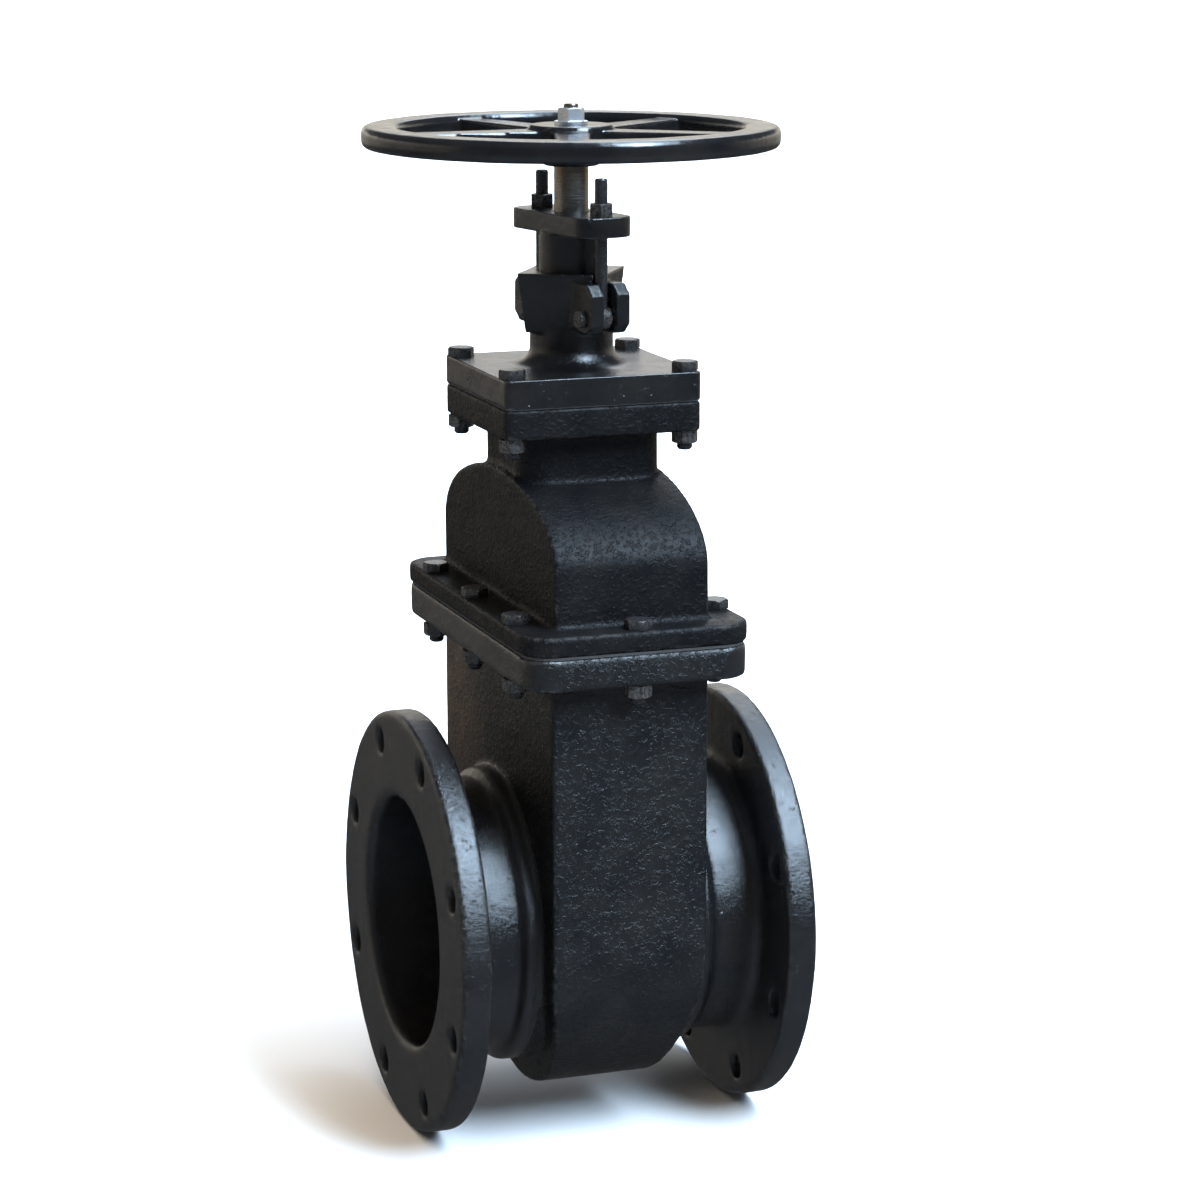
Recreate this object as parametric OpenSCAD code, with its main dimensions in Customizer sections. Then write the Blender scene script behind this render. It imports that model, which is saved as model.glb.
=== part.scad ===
// Double-flanged cast-iron gate valve with an inside-screw, non-rising stem.
// X runs along the pipe, Z along the stem; the origin is where the two axes cross.
// The gate is drawn fully open, drawn up into the bonnet.

/* [Pipe connection] */
// Bore of the waterway
bore_d = 200; // [198:1:202]
// Length over both flange faces
face_to_face = 292; // [290:1:296]
// Outside diameter of a pipe flange
flange_d = 340; // [336:1:344]
// Thickness of a pipe flange
flange_t = 24; // [22:1:26]
// Bolt circle of a pipe flange
bolt_circle_d = 295; // [293:1:297]
// Number of bolt holes in a pipe flange
bolt_count = 8; // [8]
// Diameter of the bolt holes in the inlet flange
inlet_hole_d = 19; // [18:0.5:22]
// Diameter of the bolt holes in the outlet flange
outlet_hole_d = 19.4; // [18:0.2:22.4]
// Outside diameter of the necks between the flanges and the gate chamber
neck_d = 224; // [222:1:228]
// Outside diameter of the boss where a neck meets the gate chamber
boss_d = 238; // [234:1:240]

/* [Gate chamber] */
// Width of the chamber along the pipe
chamber_w = 128; // [124:1:130]
// Radius of the chamber's round bottom, and half its width across the pipe
chamber_r = 140; // [138:1:142]
// Wall of the chamber
wall = 13; // [12:0.5:14]
// How far each side draws in towards the bottom
chamber_draw = 17; // [14:1:18]
// Height of the joint between body and bonnet, at the gasket's underside
joint_z = 245; // [244:1:247]
// Thickness of the body's top flange
body_plate_t = 25.5; // [24:0.5:27]

/* [Bonnet] */
// Width of the rectangular flanges along the pipe
plate_w = 183; // [181:1:185]
// Width of the rectangular flanges across the pipe
plate_l = 335; // [333:1:337]
// Corner radius of the rectangular flanges
plate_corner = 25; // [20:1:28]
// Thickness of the bonnet's lower flange
bonnet_plate_t = 16; // [15:1:18]
// Width of the dome along the pipe
dome_w = 125; // [123:1:126]
// Width of the dome across the pipe
dome_l = 286; // [284:1:287]
// Height at which the dome's arch springs
arch_z = 305; // [303:1:307]
// Height of the dome's crown
crown_z = 365; // [363:1:367]
// Half width of the square neck above the dome
neck_half = 58; // [56:1:60]
// Half width of the square top flanges
head_half = 80.5; // [80:0.5:82]
// Underside of the bonnet's top flange
head_z = 399; // [398:1:400]
// Thickness of the bonnet's top flange
head_t = 24; // [23:0.5:24]

/* [Gate and stem] */
// Lift of the gate from closed to open
gate_lift = 213; // [212:1:214]
// Radius of the gate
gate_r = 110; // [109:1:111]
// Angle of each gate face to the vertical
wedge_angle = 4; // [3.5:0.5:4.5]
// Half the distance between the seat faces on the pipe axis
seat_half = 34; // [33:1:35]
// Radius of the stem
stem_r = 13.5; // [13:0.1:13.6]
// Pitch of the stem thread
thread_pitch = 8; // [6:1:10]

/* [Stuffing box and gland] */
// Turn of the gland about the stem
gland_angle = 12; // [8:1:16]
// Distance of the eye bolts from the stem
eye_bolt_reach = 45; // [44:1:47]
// Half length of the gland plate
gland_half_l = 60; // [58:1:62]
// Half width of the gland plate
gland_half_w = 24.5; // [23:0.5:26]

/* [Handwheel] */
// Outside diameter of the handwheel
wheel_d = 328; // [320:2:336]
// Radial width of the rim
rim_w = 29; // [26:1:32]
// Height of the rim
rim_h = 17; // [15:1:18]
// Number of spokes
spoke_count = 5; // [4:1:6]
// Direction of the first spoke from +X
spoke_phase = 36; // [0:1:71]

/* [Hidden] */
$fn = 96;
eps = 0.01;

// Colours
iron_black = "#1b1c1f";
bronze = "#a8793c";
steel_bright = "#8d8c86";
steel_dark = "#222326";
gasket_grey = "#3a3a38";
graphite = "#2c2c2c";

// Pipe connection
bore_r = bore_d / 2;
half_length = face_to_face / 2;
flange_r = flange_d / 2;
flange_edge = 2;
bore_chamfer = 4;
neck_r = neck_d / 2;
neck_fillet = 10;
boss_r = boss_d / 2;
boss_edge = 6;
boss_outer = 80;
boss_inner = 44;

// Gate chamber
chamber_half = chamber_w / 2;
draw_start = -10;
draw_steps = 12;
cavity_half = chamber_half - wall;
cavity_r = chamber_r - wall - 1;
seat_housing_r = 118;
ring_t = 6;
seat_ring_r = 109;
rib_half = 6;
rib_reach = 114;
rib_bottom = -25;
rib_top = 300;

// Flanges, gaskets and bolts
plate_half_w = plate_w / 2;
plate_half_l = plate_l / 2;
gasket_t = 2;
bonnet_z = joint_z + gasket_t;
cover_gasket_t = 1;
cover_z = head_z + head_t + cover_gasket_t;
cover_t = 22;
cover_top = cover_z + cover_t;
head_corner = 6;
m12_r = 6;
m12_hole_r = 6.8;
m12_flats = 19;
m12_head_h = 7.5;
m12_nut_h = 10;
bolt_end = 4;
nut_gap = 0.05;
plate_bolts = [
    for (side = [-1, 1]) for (y = [-105, 0, 105]) [side * 82, y],
    for (side = [-1, 1]) [0, side * 155]
];
cover_bolts_at = [for (sx = [-1, 1]) for (sy = [-1, 1]) [sx * 71, sy * 66]];

// Bonnet
dome_half_w = dome_w / 2;
dome_half_l = dome_l / 2;
dome_wall = 12;
arch_steps = 32;
neck_corner = 22;
neck_wall = 12;
neck_cavity_top = 386;

// Gate
gate_ring_t = 4;
seat_gap = 0.3;
gate_ring_inner = 98;
hollow_r = 15.5;
hollow_bottom = -103;
housing_half_w = 28;
housing_half_l = 38;
housing_top = 150;
nut_half_w = 22;
nut_half_l = 25;
nut_bottom = 112;
nut_h = 26;
ear_half = 18;
ear_reach = 121;
ear_bottom = -10;
ear_top = 80;
ear_slot_half = 8.5;
ear_slot_reach = 112;

// Stem
stem_bottom = 114;
thread_turns = 30;
thread_root = 11;
collar_r = 24;
collar_bottom = 422;
collar_top = 431;
wheel_seat = 602;
square_end = 17.8;
stud_end_r = 5.9;
stem_top = 650;
bush_gap = 0.05;
bush_r = 19;
bush_head_r = 26;
bush_bottom = 392;
bush_head_z = 418;
recess_r = 26.5;
washer_t = 3;

// Stuffing box and gland
box_neck_r = 33;
box_foot_r = 47;
box_neck_bottom = 458;
block_bottom = 473;
block_top = 520;
block_half_bottom = 30;
block_half_top = 35;
chamber_bore_r = 26;
chamber_floor = 474;
lug_end = 60;
lug_half = 17.5;
lug_bottom = 475;
lug_top = 514;
lug_chamfer = 8;
slot_half = 5.8;
slot_start = 35;
pin_z = 487;
pin_r = 4;
pin_gap = 0.1;
pin_half_l = 20;
pin_head_r = 6.5;
eye_r = 9;
eye_half = 5.2;
eye_bolt_r = 5;
eye_bolt_top = 595;
packing_count = 3;
packing_h = 12;
gland_sleeve_r = 25.6;
gland_bore_r = 14.1;
gland_plate_z = 550;
gland_plate_t = 16;
gland_corner = 16;
m10_flats = 17;
m10_nut_h = 10;

// Handwheel
wheel_r = wheel_d / 2;
rim_top = 633.5;
rim_corner = 5;
hub_r = 33;
hub_foot_r = 21;
hub_taper = 10;
hub_top = 634;
spoke_bottom = 618;
spoke_top = 630;
spoke_root = 15;
spoke_tip = 11;
wheel_washer_t = 2.5;
wheel_washer_r = 13;
wheel_nut_h = 10.5;

// Points along an arc, from angle a to angle b
function arc(cx, cy, r, a, b, steps = 6) =
    [for (i = [0:steps]) let (t = a + (b - a) * i / steps) [cx + r * cos(t), cy + r * sin(t)]];

// Outline of a rectangle with round corners, centred on the origin
function round_rect(hx, hy, r) = concat(
    arc(hx - r, hy - r, r, 0, 90),
    arc(r - hx, hy - r, r, 90, 180),
    arc(r - hx, r - hy, r, 180, 270),
    arc(hx - r, r - hy, r, 270, 360)
);

// Half width of the gate chamber at height z, where the sides draw in below the pipe axis
function drawn_half(half, z) =
    half - chamber_draw * pow(sin(90 * min(1, max(0, (draw_start - z) / (chamber_r + draw_start)))), 2);

// Half thickness of the gate at height z, measured with the gate closed
function wedge_half(z) =
    seat_half - (gate_ring_t + seat_gap) / cos(wedge_angle) + z * tan(wedge_angle);

// A plate with round corners from height low to height high
module plate(hx, hy, corner, low, high) {
    translate([0, 0, low])
        linear_extrude(high - low)
            polygon(round_rect(hx, hy, corner));
}

// A cylinder along the pipe axis from x = low to x = high
module along_pipe(r, low, high) {
    translate([low, 0, 0])
        rotate([0, 90, 0])
            cylinder(r = r, h = high - low);
}

// A hexagon with its top corners turned off, standing on the origin
module hex_block(flats, height) {
    corners_r = flats / 2 / cos(30);
    intersection() {
        cylinder(r = corners_r, h = height, $fn = 6);
        cylinder(r1 = corners_r + height * 1.4, r2 = flats / 2 * 0.96, h = height, $fn = 48);
    }
}

// A bolt whose head stands on z = 0 and whose shank reaches down to z = -length
module hex_bolt(shank_r, flats, head_h, length) {
    hex_block(flats, head_h);
    translate([0, 0, -length])
        cylinder(r = shank_r, h = length + eps, $fn = 48);
    translate([0, 0, -length - 1.5])
        cylinder(r1 = shank_r - 1.5, r2 = shank_r, h = 1.5 + eps, $fn = 48);
}

// A nut hanging below z = 0
module hex_nut(shank_r, flats, height) {
    difference() {
        mirror([0, 0, 1])
            hex_block(flats, height);
        translate([0, 0, -height - 1])
            cylinder(r = shank_r, h = height + 2, $fn = 48);
    }
}

// Half of a seat's frame: children are drawn with x = 0 on the inlet seat face
module on_seat() {
    translate([-seat_half, 0, 0])
        rotate([0, -wedge_angle, 0])
            children();
}

// One pipe connection: boss, neck and flange turned about the pipe axis, towards +X
module port() {
    rotate([0, 90, 0])
        rotate_extrude()
            polygon(concat(
                [[0, boss_inner], [boss_r, boss_inner]],
                arc(boss_r - boss_edge, boss_outer - boss_edge, boss_edge, 0, 90),
                [[neck_r, boss_outer]],
                arc(neck_r + neck_fillet, half_length - flange_t - neck_fillet, neck_fillet, 180, 90),
                [
                    [flange_r - flange_edge, half_length - flange_t],
                    [flange_r, half_length - flange_t + flange_edge],
                    [flange_r, half_length - flange_edge],
                    [flange_r - flange_edge, half_length],
                    [0, half_length]
                ]
            ));
}

// The bolt holes of a pipe flange whose faces lie at x = low and x = low + flange_t
module flange_holes(r, low) {
    for (i = [0:bolt_count - 1])
        rotate([(i + 0.5) * 360 / bolt_count, 0, 0])
            translate([0, bolt_circle_d / 2, 0])
                along_pipe(r, low - 1, low + flange_t + 1);
}

// The gate chamber as a solid: an upright slot with a round, drawn-in bottom
module chamber(half, r, top) {
    intersection() {
        rotate([90, 0, 90])
            linear_extrude(2 * half, center = true)
                union() {
                    circle(r = r);
                    translate([-r, 0])
                        square([2 * r, top]);
                }
        rotate([90, 0, 0])
            linear_extrude(2 * r + 2, center = true)
                polygon(concat(
                    [[half, top], [-half, top]],
                    [for (i = [0:draw_steps])
                        let (z = draw_start - (r + draw_start) * i / draw_steps)
                        [-drawn_half(half, z), z]],
                    [for (i = [draw_steps:-1:0])
                        let (z = draw_start - (r + draw_start) * i / draw_steps)
                        [drawn_half(half, z), z]]
                ));
    }
}

// Ribs that guide the gate, on both sides, from height low to height high
module guide_ribs(reach, low, high) {
    for (side = [0, 1])
        mirror([0, side, 0])
            translate([-rib_half, rib_reach, low])
                cube([2 * rib_half, reach - rib_reach, high - low]);
}

// The dome's cross-section: upright sides under an elliptical arch
module arch_outline(half, low, crown) {
    polygon(concat(
        [[-half, low], [half, low]],
        [for (i = [0:arch_steps])
            let (a = 180 * i / arch_steps)
            [half * cos(a), arch_z + (crown - arch_z) * sin(a)]]
    ));
}

module body() {
    color(iron_black)
        difference() {
            union() {
                difference() {
                    union() {
                        chamber(chamber_half, chamber_r, joint_z - body_plate_t + 1);
                        plate(plate_half_w, plate_half_l, plate_corner, joint_z - body_plate_t, joint_z);
                        port();
                        mirror([1, 0, 0])
                            port();
                    }
                    chamber(cavity_half, cavity_r, joint_z + 1);
                }
                guide_ribs(cavity_r + 2, rib_bottom, joint_z);
                for (side = [0, 1])
                    mirror([side, 0, 0])
                        difference() {
                            along_pipe(seat_housing_r, -chamber_half + 1, 0);
                            on_seat()
                                translate([-ring_t, -chamber_r, -chamber_r])
                                    cube(2 * chamber_r);
                        }
            }
            along_pipe(bore_r, -half_length - 1, half_length + 1);
            for (side = [0, 1])
                mirror([side, 0, 0])
                    translate([half_length - bore_chamfer, 0, 0])
                        rotate([0, 90, 0])
                            cylinder(r1 = bore_r, r2 = bore_r + bore_chamfer + 1, h = bore_chamfer + 1);
            flange_holes(inlet_hole_d / 2, -half_length);
            flange_holes(outlet_hole_d / 2, half_length - flange_t);
            for (at = plate_bolts)
                translate([at[0], at[1], joint_z - body_plate_t - 1])
                    cylinder(r = m12_hole_r, h = body_plate_t + 2);
        }
}

// A seat ring, on the inlet side
module seat_ring() {
    color(bronze)
        difference() {
            on_seat()
                along_pipe(seat_ring_r, -ring_t, 0);
            along_pipe(bore_r, -half_length, half_length);
        }
}

module inlet_seat_ring() {
    seat_ring();
}

module outlet_seat_ring() {
    mirror([1, 0, 0])
        seat_ring();
}

module gate() {
    color(iron_black)
        translate([0, 0, gate_lift])
            difference() {
                union() {
                    intersection() {
                        along_pipe(gate_r, -chamber_half, chamber_half);
                        rotate([90, 0, 0])
                            linear_extrude(2 * gate_r + 2, center = true)
                                polygon([
                                    [-wedge_half(-gate_r - 1), -gate_r - 1],
                                    [wedge_half(-gate_r - 1), -gate_r - 1],
                                    [wedge_half(gate_r + 1), gate_r + 1],
                                    [-wedge_half(gate_r + 1), gate_r + 1]
                                ]);
                    }
                    translate([-housing_half_w, -housing_half_l, 90])
                        cube([2 * housing_half_w, 2 * housing_half_l, housing_top - 90]);
                    for (side = [0, 1])
                        mirror([0, side, 0])
                            translate([-ear_half, gate_r - 35, ear_bottom])
                                cube([2 * ear_half, ear_reach - gate_r + 35, ear_top - ear_bottom]);
                }
                translate([0, 0, hollow_bottom])
                    cylinder(r = hollow_r, h = housing_top - hollow_bottom + 1);
                translate([-chamber_half, -nut_half_l - seat_gap, nut_bottom])
                    cube([2 * chamber_half, 2 * (nut_half_l + seat_gap), nut_h + seat_gap]);
                for (side = [0, 1])
                    mirror([0, side, 0])
                        translate([-ear_slot_half, ear_slot_reach, ear_bottom - 1])
                            cube([2 * ear_slot_half, chamber_r, ear_top - ear_bottom + 2]);
            }
}

// A face ring of the gate, on the inlet side
module gate_ring() {
    color(bronze)
        translate([0, 0, gate_lift])
            on_seat()
                difference() {
                    along_pipe(seat_ring_r, seat_gap, seat_gap + gate_ring_t);
                    along_pipe(gate_ring_inner, 0, seat_gap + gate_ring_t + 1);
                }
}

module inlet_gate_ring() {
    gate_ring();
}

module outlet_gate_ring() {
    mirror([1, 0, 0])
        gate_ring();
}

module stem_nut() {
    color(bronze)
        translate([0, 0, gate_lift + nut_bottom])
            difference() {
                translate([-nut_half_w, -nut_half_l, 0])
                    cube([2 * nut_half_w, 2 * nut_half_l, nut_h]);
                translate([0, 0, -1])
                    cylinder(r = stem_r + 0.5, h = nut_h + 2);
            }
}

module bonnet_gasket() {
    color(gasket_grey)
        difference() {
            plate(plate_half_w - 1.5, plate_half_l - 1.5, plate_corner - 1.5, joint_z, bonnet_z);
            plate(cavity_half, cavity_r, 8, joint_z - 1, bonnet_z + 1);
            for (at = plate_bolts)
                translate([at[0], at[1], joint_z - 1])
                    cylinder(r = m12_hole_r, h = gasket_t + 2);
        }
}

module bonnet() {
    color(iron_black)
        difference() {
            union() {
                difference() {
                    union() {
                        plate(plate_half_w + 1, plate_half_l, plate_corner, bonnet_z, bonnet_z + bonnet_plate_t);
                        rotate([90, 0, 90])
                            linear_extrude(dome_w, center = true)
                                arch_outline(dome_half_l, bonnet_z + 1, crown_z);
                        plate(neck_half, neck_half, neck_corner, arch_z, head_z + 1);
                        plate(head_half, head_half - 0.5, head_corner, head_z, head_z + head_t);
                    }
                    rotate([90, 0, 90])
                        linear_extrude(dome_w - 2 * dome_wall, center = true)
                            arch_outline(dome_half_l - dome_wall, bonnet_z - 1, crown_z - dome_wall);
                    plate(neck_half - neck_wall, neck_half - neck_wall, 10, arch_z, neck_cavity_top);
                }
                guide_ribs(dome_half_l - dome_wall + 2, bonnet_z, rib_top);
            }
            cylinder(r = bush_r, h = head_z + head_t + 1);
            translate([0, 0, bush_head_z])
                cylinder(r = recess_r, h = head_t);
            for (at = plate_bolts)
                translate([at[0], at[1], bonnet_z - 1])
                    cylinder(r = m12_hole_r, h = bonnet_plate_t + 2);
            for (at = cover_bolts_at)
                translate([at[0], at[1], head_z - 1])
                    cylinder(r = m12_hole_r, h = head_t + 2);
        }
}

module bonnet_bolts() {
    color(steel_dark)
        for (at = plate_bolts)
            translate([at[0], at[1], bonnet_z + bonnet_plate_t])
                rotate([0, 0, 30])
                    hex_bolt(m12_r, m12_flats, m12_head_h,
                        bonnet_plate_t + gasket_t + body_plate_t + m12_nut_h + bolt_end);
}

module bonnet_nuts() {
    color(steel_dark)
        for (at = plate_bolts)
            translate([at[0], at[1], joint_z - body_plate_t])
                rotate([0, 0, 30])
                    hex_nut(m12_r + nut_gap, m12_flats, m12_nut_h);
}

module stem_bush() {
    color(bronze)
        difference() {
            union() {
                translate([0, 0, bush_bottom])
                    cylinder(r = bush_r, h = bush_head_z - bush_bottom + 1);
                translate([0, 0, bush_head_z])
                    cylinder(r = bush_head_r, h = collar_bottom - bush_head_z - seat_gap);
            }
            translate([0, 0, bush_bottom - 1])
                cylinder(r = stem_r + bush_gap, h = collar_bottom - bush_bottom + 1);
        }
}

module thrust_washer() {
    color(bronze)
        translate([0, 0, collar_top + seat_gap])
            difference() {
                cylinder(r = bush_head_r, h = washer_t);
                translate([0, 0, -1])
                    cylinder(r = stem_r + seat_gap, h = washer_t + 2);
            }
}

// The stem's thread is drawn as plain grooves at the thread's pitch
module stem() {
    thread_top = stem_bottom + 2 + thread_turns * thread_pitch;
    color(steel_bright) {
        rotate_extrude()
            polygon(concat(
                [[0, stem_bottom], [thread_root, stem_bottom]],
                [for (i = [0:thread_turns - 1]) for (step = [[0.1, 0], [0.4, 0], [0.6, 1], [0.9, 1]])
                    [step[1] == 0 ? stem_r : thread_root,
                        stem_bottom + 2 + (i + step[0]) * thread_pitch]],
                [
                    [stem_r, thread_top + 1],
                    [stem_r, collar_bottom],
                    [collar_r, collar_bottom],
                    [collar_r, collar_top],
                    [stem_r, collar_top],
                    [stem_r, wheel_seat],
                    [0, wheel_seat]
                ]
            ));
        translate([-square_end / 2, -square_end / 2, wheel_seat - 1])
            cube([square_end, square_end, hub_top - wheel_seat + 1]);
        translate([0, 0, hub_top - 1])
            cylinder(r = stud_end_r, h = stem_top - hub_top);
        translate([0, 0, stem_top - 1 - eps])
            cylinder(r1 = stud_end_r, r2 = stud_end_r - 1, h = 1);
    }
}

module cover_gasket() {
    color(gasket_grey)
        difference() {
            plate(head_half - 1, head_half - 1.5, head_corner - 1, head_z + head_t, cover_z);
            translate([0, 0, head_z])
                cylinder(r = recess_r + 4, h = 2 * head_t);
            for (at = cover_bolts_at)
                translate([at[0], at[1], head_z])
                    cylinder(r = m12_hole_r, h = 2 * head_t);
        }
}

// The tapered square block of the stuffing box, with its faces along X and Y
module tapered_block() {
    outline = [
        [-block_half_bottom, block_bottom],
        [block_half_bottom, block_bottom],
        [block_half_top, block_top],
        [-block_half_top, block_top]
    ];
    intersection() {
        rotate([90, 0, 0])
            linear_extrude(3 * block_half_top, center = true)
                polygon(outline);
        rotate([90, 0, 90])
            linear_extrude(3 * block_half_top, center = true)
                polygon(outline);
    }
}

// The two lugs that hold the eye bolts, along Y, before they are slotted
module lugs() {
    for (side = [0, 1])
        mirror([0, side, 0])
            rotate([90, 0, 90])
                linear_extrude(2 * lug_half, center = true)
                    polygon([
                        [0, lug_bottom + lug_chamfer],
                        [lug_end - 2 * lug_chamfer, lug_bottom],
                        [lug_end - lug_chamfer, lug_bottom],
                        [lug_end, lug_bottom + lug_chamfer],
                        [lug_end, lug_top - lug_chamfer],
                        [lug_end - lug_chamfer, lug_top],
                        [0, lug_top]
                    ]);
}

// The space for the eye bolts and their pins in the lugs and the block
module lug_slots() {
    for (side = [0, 1])
        mirror([0, side, 0]) {
            translate([-slot_half, slot_start, block_bottom - 1])
                cube([2 * slot_half, lug_end, block_top - block_bottom + 2]);
            translate([0, eye_bolt_reach, pin_z])
                rotate([0, 90, 0])
                    cylinder(r = pin_r + pin_gap, h = 3 * lug_half, center = true);
        }
}

module stuffing_box() {
    color(iron_black)
        difference() {
            union() {
                plate(head_half, head_half - 0.5, head_corner, cover_z, cover_top);
                rotate_extrude()
                    polygon(concat(
                        [[0, cover_top - 1], [box_foot_r, cover_top - 1]],
                        arc(box_foot_r, box_neck_bottom + 2, box_foot_r - box_neck_r, 270, 180),
                        [[box_neck_r, block_bottom + 4], [0, block_bottom + 4]]
                    ));
                rotate([0, 0, gland_angle - 45])
                    tapered_block();
                rotate([0, 0, gland_angle])
                    lugs();
            }
            translate([0, 0, cover_z - 1])
                cylinder(r = recess_r, h = collar_top + seat_gap + washer_t - cover_z + 1);
            translate([0, 0, cover_z])
                cylinder(r = stem_r + 0.7, h = block_top);
            translate([0, 0, chamber_floor])
                cylinder(r = chamber_bore_r, h = block_top);
            rotate([0, 0, gland_angle])
                lug_slots();
            for (at = cover_bolts_at)
                translate([at[0], at[1], cover_z - 1])
                    cylinder(r = m12_hole_r, h = cover_t + 2);
        }
}

module cover_bolts() {
    color(steel_dark)
        for (at = cover_bolts_at)
            translate([at[0], at[1], cover_top])
                hex_bolt(m12_r, m12_flats, m12_head_h,
                    cover_t + cover_gasket_t + head_t + m12_nut_h + bolt_end);
}

module cover_nuts() {
    color(steel_dark)
        for (at = cover_bolts_at)
            translate([at[0], at[1], head_z])
                hex_nut(m12_r + nut_gap, m12_flats, m12_nut_h);
}

module packing_rings() {
    color(graphite)
        for (i = [0:packing_count - 1])
            translate([0, 0, chamber_floor + i * packing_h])
                difference() {
                    cylinder(r = chamber_bore_r - 0.1, h = packing_h - 0.1);
                    translate([0, 0, -1])
                        cylinder(r = stem_r + bush_gap, h = packing_h + 2);
                }
}

module gland() {
    sleeve_bottom = chamber_floor + packing_count * packing_h + 0.3;
    color(iron_black)
        rotate([0, 0, gland_angle])
            difference() {
                union() {
                    translate([0, 0, sleeve_bottom])
                        cylinder(r = gland_sleeve_r, h = gland_plate_z - sleeve_bottom + 1);
                    plate(gland_half_w, gland_half_l, gland_corner,
                        gland_plate_z, gland_plate_z + gland_plate_t);
                }
                translate([0, 0, sleeve_bottom - 1])
                    cylinder(r = gland_bore_r, h = gland_plate_z);
                for (side = [-1, 1])
                    translate([0, side * eye_bolt_reach, gland_plate_z - 1])
                        cylinder(r = eye_bolt_r + 0.6, h = gland_plate_t + 2);
            }
}

module gland_eye_bolts() {
    color(steel_dark)
        rotate([0, 0, gland_angle])
            for (side = [-1, 1])
                translate([0, side * eye_bolt_reach, 0])
                    difference() {
                        union() {
                            translate([0, 0, pin_z])
                                rotate([0, 90, 0])
                                    cylinder(r = eye_r, h = 2 * eye_half, center = true, $fn = 48);
                            translate([0, 0, pin_z + 2])
                                cylinder(r = eye_bolt_r, h = eye_bolt_top - pin_z - 3, $fn = 48);
                            translate([0, 0, eye_bolt_top - 1 - eps])
                                cylinder(r1 = eye_bolt_r, r2 = eye_bolt_r - 1, h = 1, $fn = 48);
                        }
                        translate([0, 0, pin_z])
                            rotate([0, 90, 0])
                                cylinder(r = pin_r + pin_gap, h = 4 * eye_half, center = true, $fn = 48);
                    }
}

module gland_pins() {
    color(steel_dark)
        rotate([0, 0, gland_angle])
            for (side = [-1, 1])
                translate([0, side * eye_bolt_reach, pin_z])
                    rotate([0, 90, 0]) {
                        cylinder(r = pin_r, h = 2 * pin_half_l, center = true, $fn = 48);
                        for (end = [0, 1])
                            mirror([0, 0, end])
                                translate([0, 0, lug_half])
                                    cylinder(r = pin_head_r, h = pin_half_l - lug_half + 1.5, $fn = 48);
                    }
}

module gland_nuts() {
    color(steel_dark)
        rotate([0, 0, gland_angle])
            for (side = [-1, 1])
                translate([0, side * eye_bolt_reach, gland_plate_z + gland_plate_t])
                    mirror([0, 0, 1])
                        hex_nut(eye_bolt_r + nut_gap, m10_flats, m10_nut_h);
}

module handwheel() {
    inner = wheel_r - rim_w;
    low = rim_top - rim_h;
    c = rim_corner;
    color(iron_black)
        difference() {
            union() {
                rotate_extrude()
                    polygon(concat(
                        arc(wheel_r - c, rim_top - c, c, 0, 90, 4),
                        arc(inner + c, rim_top - c, c, 90, 180, 4),
                        arc(inner + c, low + c, c, 180, 270, 4),
                        arc(wheel_r - c, low + c, c, 270, 360, 4)
                    ));
                rotate_extrude()
                    polygon([
                        [0, wheel_seat],
                        [hub_foot_r, wheel_seat],
                        [hub_r, wheel_seat + hub_taper],
                        [hub_r, hub_top],
                        [0, hub_top]
                    ]);
                for (i = [0:spoke_count - 1])
                    rotate([0, 0, spoke_phase + i * 360 / spoke_count])
                        translate([0, 0, spoke_bottom])
                            linear_extrude(spoke_top - spoke_bottom)
                                polygon([
                                    [hub_r - 5, -spoke_root],
                                    [inner + c, -spoke_tip],
                                    [inner + c, spoke_tip],
                                    [hub_r - 5, spoke_root]
                                ]);
            }
            translate([-square_end / 2 - 0.1, -square_end / 2 - 0.1, wheel_seat - 1])
                cube([square_end + 0.2, square_end + 0.2, hub_top - wheel_seat + 2]);
        }
}

module handwheel_washer() {
    color(steel_bright)
        translate([0, 0, hub_top])
            difference() {
                cylinder(r = wheel_washer_r, h = wheel_washer_t);
                translate([0, 0, -1])
                    cylinder(r = stud_end_r + 0.1, h = wheel_washer_t + 2);
            }
}

module handwheel_nut() {
    color(steel_bright)
        translate([0, 0, hub_top + wheel_washer_t])
            mirror([0, 0, 1])
                hex_nut(stud_end_r + nut_gap, m12_flats, wheel_nut_h);
}

body();
inlet_seat_ring();
outlet_seat_ring();
gate();
inlet_gate_ring();
outlet_gate_ring();
stem_nut();
bonnet_gasket();
bonnet();
bonnet_bolts();
bonnet_nuts();
stem_bush();
thrust_washer();
stem();
cover_gasket();
stuffing_box();
cover_bolts();
cover_nuts();
packing_rings();
gland();
gland_eye_bolts();
gland_pins();
gland_nuts();
handwheel();
handwheel_washer();
handwheel_nut();
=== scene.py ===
"""The looks of a flanged cast-iron gate valve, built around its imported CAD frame."""

import math

import bmesh
import bpy
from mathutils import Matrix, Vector, noise


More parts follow.
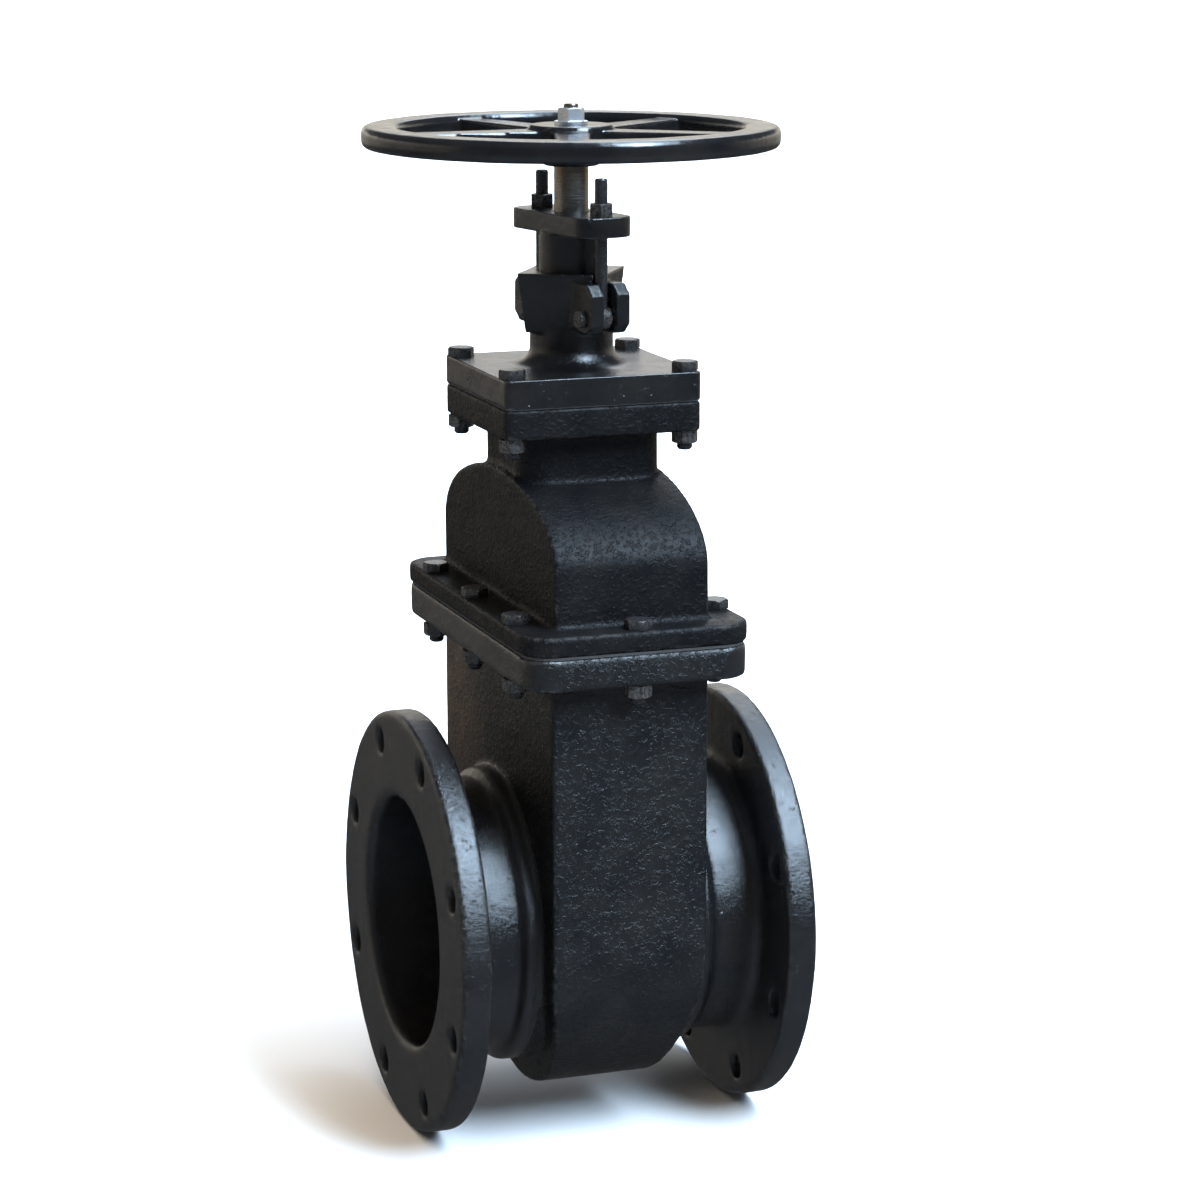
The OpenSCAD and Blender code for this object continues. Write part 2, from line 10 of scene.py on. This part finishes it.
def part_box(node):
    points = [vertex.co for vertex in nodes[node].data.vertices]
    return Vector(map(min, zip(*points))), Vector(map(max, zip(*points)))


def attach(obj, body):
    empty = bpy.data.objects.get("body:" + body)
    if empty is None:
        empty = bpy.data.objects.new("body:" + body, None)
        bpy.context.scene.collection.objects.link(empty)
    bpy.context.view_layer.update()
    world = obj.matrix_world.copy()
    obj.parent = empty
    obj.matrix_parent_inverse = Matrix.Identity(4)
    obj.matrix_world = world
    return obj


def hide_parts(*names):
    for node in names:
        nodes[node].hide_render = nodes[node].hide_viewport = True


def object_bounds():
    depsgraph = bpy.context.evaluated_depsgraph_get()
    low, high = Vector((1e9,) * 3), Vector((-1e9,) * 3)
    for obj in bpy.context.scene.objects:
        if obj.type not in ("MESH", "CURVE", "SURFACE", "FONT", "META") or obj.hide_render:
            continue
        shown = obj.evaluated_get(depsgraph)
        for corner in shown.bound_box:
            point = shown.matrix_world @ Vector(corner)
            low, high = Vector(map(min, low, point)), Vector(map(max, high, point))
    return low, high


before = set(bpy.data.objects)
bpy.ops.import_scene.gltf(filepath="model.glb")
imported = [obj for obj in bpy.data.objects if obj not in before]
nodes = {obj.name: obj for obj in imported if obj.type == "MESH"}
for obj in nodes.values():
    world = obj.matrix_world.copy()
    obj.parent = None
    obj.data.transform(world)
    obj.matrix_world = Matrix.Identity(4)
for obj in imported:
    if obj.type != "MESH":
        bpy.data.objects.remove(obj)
cad_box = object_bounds()

MM = 0.001
CASING = "valve_casing"
STEM = "stem_assembly"
GATE = "gate_assembly"

# Metres and degrees
CHAMBER_HALF = 0.065
CAMERA_PLACE = (-0.907, -2.629, 0.850)
CAMERA_YAW = 19.5
CAMERA_PITCH = 12.1
FLOOR_RADIUS = 400
FLOOR_GAP = 0.2 * MM

# Light; the softbox is centred on STRIP_X of the world direction, full within STRIP_INNER of
# there and dark past STRIP_OUTER
FILL_LIGHT = 3.4
FILL_COLOUR = (1.0, 0.85, 0.68)
STRIP_LIGHT = 62.0
STRIP_COLOUR = (0.62, 0.80, 1.0)
STRIP_X = 0.33
STRIP_OUTER = 0.18
STRIP_INNER = 0.08

# Enamel and what shows through it
ENAMEL_DARK = (0.0030, 0.0033, 0.0040)
ENAMEL_LIGHT = (0.0070, 0.0066, 0.0064)
WORN_EDGE = (0.085, 0.078, 0.072)
RUST = (0.095, 0.052, 0.028)


# ---------------------------------------------------------------- camera, floor and light

def add_camera():
    """The camera stands in front, on the inlet's side, and looks a little down on the handwheel."""
    yaw, pitch = math.radians(CAMERA_YAW), math.radians(CAMERA_PITCH)
    forward = Vector((
        math.sin(yaw) * math.cos(pitch),
        math.cos(yaw) * math.cos(pitch),
        -math.sin(pitch),
    ))
    data = bpy.data.cameras.new("camera")
    data.sensor_width = 36
    data.lens = 106.2
    data.clip_end = 1000
    camera = bpy.data.objects.new("camera", data)
    camera.location = CAMERA_PLACE
    camera.rotation_euler = forward.to_track_quat("-Z", "Y").to_euler()
    bpy.context.scene.collection.objects.link(camera)
    bpy.context.scene.camera = camera


def add_floor():
    """A plain pale floor that glossy rays pass, so that the black enamel mirrors only the studio."""
    mesh = bpy.data.meshes.new("floor")
    b = bmesh.new()
    bmesh.ops.create_circle(b, cap_ends=True, radius=FLOOR_RADIUS, segments=96)
    b.to_mesh(mesh)
    b.free()
    floor = bpy.data.objects.new("floor", mesh)
    floor.location.z = cad_box[0][2] - FLOOR_GAP
    floor.visible_glossy = False
    floor.visible_shadow = False
    bpy.context.scene.collection.objects.link(floor)
    material, tree, shader = new_material("floor_paint")
    shader.inputs["Base Color"].default_value = (0.62, 0.62, 0.62, 1)
    shader.inputs["Roughness"].default_value = 0.8
    floor.data.materials.append(material)


def ramp_of(tree, value, stops):
    """A colour ramp; stops are (place, (r, g, b), strength)."""
    node = tree.nodes.new("ShaderNodeValToRGB")
    ramp = node.color_ramp
    while len(ramp.elements) < len(stops):
        ramp.elements.new(0.5)
    for element, (place, colour, strength) in zip(ramp.elements, stops):
        element.position = place
        element.color = (*[c * strength for c in colour], 1)
    tree.links.new(value, node.inputs["Fac"])
    return node.outputs["Color"]


def add_studio():
    """A dim room: a warm light band behind the valve, a dull ground ahead, a long cool softbox overhead."""
    world = bpy.data.worlds.new("studio")
    world.use_nodes = True
    bpy.context.scene.world = world
    tree = world.node_tree
    way = tree.nodes.new("ShaderNodeSeparateXYZ")
    tree.links.new(tree.nodes.new("ShaderNodeTexCoord").outputs["Generated"], way.inputs["Vector"])
    x, y, z = way.outputs
    height = maths(tree, "ADD", maths(tree, "MULTIPLY", z, 0.5), 0.5)
    warm, brown, cool, grey = (1.0, 0.93, 0.78), (1.0, 0.93, 0.82), (0.72, 0.85, 1.0), (0.95, 0.97, 1.0)
    behind = ramp_of(tree, height, [
        (0.00, grey, 0.10), (0.38, grey, 0.10), (0.42, brown, 0.10), (0.45, brown, 0.38),
        (0.50, warm, 0.80), (0.54, warm, 1.70), (0.565, grey, 0.40), (0.59, grey, 0.24),
        (0.64, grey, 0.10), (1.00, grey, 0.10),
    ])
    ahead = ramp_of(tree, height, [
        (0.00, cool, 0.40), (0.33, cool, 0.36), (0.37, grey, 0.24), (0.41, grey, 0.12),
        (0.45, grey, 0.05), (0.60, grey, 0.08), (0.75, cool, 0.20), (1.00, cool, 0.12),
    ])
    room = mix_colour(tree, remap(tree, y, -0.25, 0.25), ahead, behind)
    across = maths(tree, "ABSOLUTE", maths(tree, "SUBTRACT", x, STRIP_X), 0)
    turn = maths(tree, "ARCTAN2", z, maths(tree, "MULTIPLY", y, -1))
    along = ramp_of(tree, maths(tree, "DIVIDE", turn, math.pi), [
        (0.15, STRIP_COLOUR, 0.0), (0.20, STRIP_COLOUR, 1.0), (0.33, STRIP_COLOUR, 1.0),
        (0.43, STRIP_COLOUR, 0.40), (0.61, STRIP_COLOUR, 0.12), (0.83, grey, 0.06), (0.95, grey, 0.0),
    ])
    strip = mix_colour(tree, remap(tree, across, STRIP_OUTER, STRIP_INNER), (0.0, 0.0, 0.0), along)
    shaders = []
    for colour, strength in ((room, 1.0), (strip, STRIP_LIGHT)):
        shader = tree.nodes.new("ShaderNodeBackground")
        shader.inputs["Strength"].default_value = strength
        tree.links.new(colour, shader.inputs["Color"])
        shaders.append(shader)
    both = tree.nodes.new("ShaderNodeAddShader")
    for k, shader in enumerate(shaders):
        tree.links.new(shader.outputs["Background"], both.inputs[k])
    tree.links.new(both.outputs["Shader"], tree.nodes["World Output"].inputs["Surface"])


def add_lights():
    """The overhead fill whitens the floor; the studio around does the rest."""
    add_studio()
    data = bpy.data.lights.new("overhead_fill", "SUN")
    data.energy = FILL_LIGHT
    data.angle = math.radians(70)
    data.color = FILL_COLOUR
    fill = bpy.data.objects.new("overhead_fill", data)
    fill.rotation_euler = (math.radians(12), math.radians(-8), 0)
    fill.visible_glossy = False
    bpy.context.scene.collection.objects.link(fill)
    bpy.context.scene.view_settings.view_transform = "Standard"


# ---------------------------------------------------------------- materials

def new_material(name):
    material = bpy.data.materials.new(name)
    material.use_nodes = True
    tree = material.node_tree
    return material, tree, tree.nodes["Principled BSDF"]


def place_of(tree):
    return tree.nodes.new("ShaderNodeTexCoord").outputs["Object"]


def noise_of(tree, scale, detail=4.0, rough=0.6, stretch=None):
    """Noise in object space; scale is in cycles per metre."""
    texture = tree.nodes.new("ShaderNodeTexNoise")
    texture.inputs["Scale"].default_value = scale
    texture.inputs["Detail"].default_value = detail
    texture.inputs["Roughness"].default_value = rough
    source = place_of(tree)
    if stretch:
        mapping = tree.nodes.new("ShaderNodeMapping")
        mapping.inputs["Scale"].default_value = stretch
        tree.links.new(source, mapping.inputs["Vector"])
        source = mapping.outputs["Vector"]
    tree.links.new(source, texture.inputs["Vector"])
    return texture.outputs["Fac"]


def remap(tree, value, low, high, to_low=0.0, to_high=1.0):
    node = tree.nodes.new("ShaderNodeMapRange")
    node.inputs["From Min"].default_value = low
    node.inputs["From Max"].default_value = high
    node.inputs["To Min"].default_value = to_low
    node.inputs["To Max"].default_value = to_high
    tree.links.new(value, node.inputs["Value"])
    return node.outputs["Result"]


def maths(tree, operation, a, b):
    node = tree.nodes.new("ShaderNodeMath")
    node.operation = operation
    for socket, value in zip(node.inputs, (a, b)):
        if isinstance(value, (int, float)):
            socket.default_value = value
        else:
            tree.links.new(value, socket)
    return node.outputs[0]


def mix_colour(tree, factor, a, b):
    """Colour a where factor is 0 and b where it is 1; the Mix node's colours are inputs 6 and 7, output 2."""
    node = tree.nodes.new("ShaderNodeMix")
    node.data_type = "RGBA"
    tree.links.new(factor, node.inputs["Factor"])
    for socket, value in ((node.inputs[6], a), (node.inputs[7], b)):
        if isinstance(value, tuple):
            socket.default_value = (*value, 1)
        else:
            tree.links.new(value, socket)
    return node.outputs[2]


def bump(tree, height, depth, before=None):
    """A bump whose height socket runs over depth metres."""
    node = tree.nodes.new("ShaderNodeBump")
    node.inputs["Strength"].default_value = 1.0
    node.inputs["Distance"].default_value = depth
    tree.links.new(height, node.inputs["Height"])
    if before is not None:
        tree.links.new(before, node.inputs["Normal"])
    return node.outputs["Normal"]


def edge_of(tree, low=0.52, high=0.60):
    """1 on sharp outer edges, 0 on flat faces."""
    geometry = tree.nodes.new("ShaderNodeNewGeometry")
    return remap(tree, geometry.outputs["Pointiness"], low, high)


def casting_paint(name, grain=1.0, waves=1.0, gloss=0.16, shine=0.5, matte=None, stain=None):
    """Black enamel over a sand casting, dull and coarse where matte is 1, rusty where stain is 1."""
    material, tree, shader = new_material(name)
    dull = matte(tree) if matte else None
    tone = remap(tree, noise_of(tree, 22, 3), 0.35, 0.7)
    colour = mix_colour(tree, tone, ENAMEL_DARK, ENAMEL_LIGHT)
    worn = maths(tree, "MULTIPLY", edge_of(tree), remap(tree, noise_of(tree, 160, 4), 0.45, 0.62))
    colour = mix_colour(tree, maths(tree, "MULTIPLY", worn, 0.7), colour, WORN_EDGE)
    if stain:
        colour = mix_colour(tree, stain(tree), colour, RUST)
    tree.links.new(colour, shader.inputs["Base Color"])
    rough = remap(tree, noise_of(tree, 45, 5, 0.7), 0.3, 0.75, gloss, gloss + 0.12)
    rough = maths(tree, "ADD", rough, maths(tree, "MULTIPLY", worn, 0.2))
    if dull is not None:
        rough = maths(tree, "ADD", rough, maths(tree, "MULTIPLY", dull, 0.16))
    tree.links.new(rough, shader.inputs["Roughness"])
    shader.inputs["Specular IOR Level"].default_value = shine
    swell = bump(tree, noise_of(tree, 38, 2), 0.0011 * waves)
    sand = bump(tree, noise_of(tree, 330, 5, 0.72), 0.00042 * grain, swell)
    pits = remap(tree, noise_of(tree, 210, 2, 0.5), 0.24, 0.36)
    skin = bump(tree, pits, 0.0003 * grain, sand)
    if dull is not None:
        lumps = remap(tree, noise_of(tree, 260, 3, 0.6), 0.50, 0.68)
        crust = maths(tree, "MULTIPLY", lumps, dull)
        skin = bump(tree, crust, 0.00048, skin)
    tree.links.new(skin, shader.inputs["Normal"])
    return material


def rusty_side(tree):
    """A rust-brown patch high on the chamber's inlet side, towards the back."""
    axes = tree.nodes.new("ShaderNodeSeparateXYZ")
    tree.links.new(place_of(tree), axes.inputs["Vector"])
    back = remap(tree, axes.outputs["Y"], 0.02, 0.09)
    high = remap(tree, axes.outputs["Z"], 0.07, 0.13)
    side = remap(tree, axes.outputs["X"], -0.060, -0.063)
    patchy = remap(tree, noise_of(tree, 30, 5, 0.7), 0.30, 0.60, 0.25, 0.8)
    corner = maths(tree, "MULTIPLY", back, high)
    return maths(tree, "MULTIPLY", corner, maths(tree, "MULTIPLY", side, patchy))


def patches(tree):
    """Dull all over, and a little less in patches."""
    return remap(tree, noise_of(tree, 14, 3), 0.25, 0.60, 0.75, 1.0)


def fastener_paint(name):
    """The same enamel where it has gathered on bolts and nuts."""
    material, tree, shader = new_material(name)
    specks = remap(tree, noise_of(tree, 420, 3), 0.4, 0.6)
    worn = maths(tree, "MULTIPLY", edge_of(tree, 0.53, 0.64), specks)
    worn = maths(tree, "MULTIPLY", worn, 0.6)
    colour = mix_colour(tree, worn, (0.009, 0.009, 0.010), (0.07, 0.062, 0.055))
    tree.links.new(colour, shader.inputs["Base Color"])
    tree.links.new(remap(tree, noise_of(tree, 240, 4), 0.3, 0.7, 0.16, 0.4), shader.inputs["Roughness"])
    tree.links.new(bump(tree, noise_of(tree, 420, 3, 0.55), 0.0003), shader.inputs["Normal"])
    return material


def turned_metal(name, colour, stain, rough, stretch):
    """Bare metal with fine turning marks and a faint tarnish."""
    material, tree, shader = new_material(name)
    tint = mix_colour(tree, remap(tree, noise_of(tree, 60, 4, 0.65), 0.35, 0.7), colour, stain)
    tree.links.new(tint, shader.inputs["Base Color"])
    shader.inputs["Metallic"].default_value = 1.0
    marks = noise_of(tree, 60, 3, 0.6, stretch)
    tree.links.new(remap(tree, marks, 0.3, 0.7, rough, rough + 0.18), shader.inputs["Roughness"])
    tree.links.new(bump(tree, marks, 0.00006), shader.inputs["Normal"])
    return material


def fibre_sheet(name):
    """Compressed-fibre gasket board."""
    material, tree, shader = new_material(name)
    colour = mix_colour(tree, noise_of(tree, 900, 4), (0.010, 0.010, 0.011), (0.030, 0.028, 0.026))
    tree.links.new(colour, shader.inputs["Base Color"])
    tree.links.new(remap(tree, noise_of(tree, 500), 0.3, 0.7, 0.6, 0.85), shader.inputs["Roughness"])
    tree.links.new(bump(tree, noise_of(tree, 1200, 4), 0.0001), shader.inputs["Normal"])
    return material


def braided_packing(name):
    """Graphited plait: crossed waves for the strands."""
    material, tree, shader = new_material(name)
    waves = []
    for slope in (1, -1):
        texture = tree.nodes.new("ShaderNodeTexWave")
        texture.inputs["Scale"].default_value = 60
        mapping = tree.nodes.new("ShaderNodeMapping")
        mapping.inputs["Rotation"].default_value = (0, 0, slope * math.pi / 4)
        tree.links.new(place_of(tree), mapping.inputs["Vector"])
        tree.links.new(mapping.outputs["Vector"], texture.inputs["Vector"])
        waves.append(texture.outputs["Fac"])
    strands = maths(tree, "MAXIMUM", *waves)
    colour = mix_colour(tree, strands, (0.012, 0.012, 0.013), (0.05, 0.05, 0.052))
    tree.links.new(colour, shader.inputs["Base Color"])
    shader.inputs["Roughness"].default_value = 0.55
    tree.links.new(bump(tree, strands, 0.0005), shader.inputs["Normal"])
    return material


# ---------------------------------------------------------------- shapes

def copy_of(node, name):
    piece = bpy.data.objects.new(name, nodes[node].data.copy())
    piece.data.materials.clear()
    bpy.context.scene.collection.objects.link(piece)
    return piece


def apply_modifiers(piece):
    graph = bpy.context.evaluated_depsgraph_get()
    mesh = bpy.data.meshes.new_from_object(piece.evaluated_get(graph))
    old = piece.data
    piece.modifiers.clear()
    piece.data = mesh
    bpy.data.meshes.remove(old)


def keep_inside(piece, low, high):
    for vertex in piece.data.vertices:
        for k in range(3):
            vertex.co[k] = min(max(vertex.co[k], low[k]), high[k])


def casting(node, body, material, voxel, rounds, ratio=1.0, lumps=0.25):
    """A CAD casting with its edges rounded as a foundry pattern leaves them, and an uneven skin."""
    piece = copy_of(node, node + "_casting")
    remesh = piece.modifiers.new("skin", "REMESH")
    remesh.mode = "VOXEL"
    remesh.voxel_size = voxel * MM
    smooth = piece.modifiers.new("round", "SMOOTH")
    smooth.factor = 0.5
    smooth.iterations = rounds
    if ratio < 1:
        thin = piece.modifiers.new("thin", "DECIMATE")
        thin.ratio = ratio
    apply_modifiers(piece)
    normals = [vertex.normal.copy() for vertex in piece.data.vertices]
    for vertex, normal in zip(piece.data.vertices, normals):
        swell = noise.noise(vertex.co * 28) + 0.4 * noise.noise(vertex.co * 90)
        vertex.co += normal * swell * lumps * MM
    keep_inside(piece, *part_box(node))
    piece.data.shade_smooth()
    piece.data.materials.append(material)
    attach(piece, body)
    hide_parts(node)
    return piece


def paint_chamber(piece, material):
    """A second material on the gate chamber, between the two necks."""
    piece.data.materials.append(material)
    for face in piece.data.polygons:
        face.material_index = int(abs(face.center.x) < CHAMBER_HALF)


def dress(node, material, edge=0.0):
    """A CAD node that keeps its shape: its material, and softened edges."""
    piece = nodes[node]
    piece.data.materials.clear()
    piece.data.materials.append(material)
    if edge:
        bevel = piece.modifiers.new("edge", "BEVEL")
        bevel.width = edge * MM
        bevel.segments = 2
        bevel.limit_method = "ANGLE"
        bevel.angle_limit = math.radians(28)
        bevel.harden_normals = True


add_camera()
add_floor()
add_lights()

neck_paint = casting_paint("enamel_on_necks", grain=1.7, gloss=0.08, shine=0.6)
chamber_paint = casting_paint(
    "enamel_on_chamber", gloss=0.17, shine=0.30, matte=patches, stain=rusty_side
)
bonnet_paint = casting_paint("enamel_on_bonnet", gloss=0.18, shine=0.08, matte=patches)
paint = casting_paint("enamel_on_casting")
smooth_paint = casting_paint("enamel_on_wheel", grain=0.35, waves=0.7, gloss=0.12)
bolt_paint = fastener_paint("enamel_on_fasteners")
steel = turned_metal("polished_stem_steel", (0.30, 0.29, 0.28), (0.20, 0.15, 0.10), 0.22, (1, 1, 40))
zinc = turned_metal("zinc_plate", (0.86, 0.88, 0.92), (0.72, 0.74, 0.78), 0.26, (1, 1, 20))
bronze = turned_metal("gunmetal", (0.62, 0.42, 0.19), (0.42, 0.25, 0.10), 0.24, (6, 6, 6))
board = fibre_sheet("gasket_board")
plait = braided_packing("graphited_plait")

body = casting("body", CASING, neck_paint, 2.4, 6, 0.5)
paint_chamber(body, chamber_paint)
casting("bonnet", CASING, bonnet_paint, 2.0, 8, 0.6)
casting("stuffing_box", CASING, paint, 1.0, 6, 0.6, 0.2)
casting("gland", CASING, paint, 0.8, 6, 0.7, 0.15)
casting("handwheel", STEM, smooth_paint, 1.4, 6, 0.8, 0.15)
casting("gate", GATE, paint, 2.0, 5, 0.6)

for name in ("inlet_seat_ring", "outlet_seat_ring", "inlet_gate_ring", "outlet_gate_ring"):
    dress(name, bronze, 0.5)
for name in ("stem_nut", "stem_bush", "thrust_washer"):
    dress(name, bronze, 0.4)
for name in ("bonnet_bolts", "bonnet_nuts", "cover_bolts", "cover_nuts"):
    dress(name, bolt_paint, 0.6)
for name in ("gland_eye_bolts", "gland_pins", "gland_nuts"):
    dress(name, bolt_paint, 0.5)
dress("stem", steel, 0.3)
dress("handwheel_washer", zinc, 0.4)
dress("handwheel_nut", zinc, 0.5)
dress("bonnet_gasket", board)
dress("cover_gasket", board)
dress("packing_rings", plait, 0.8)
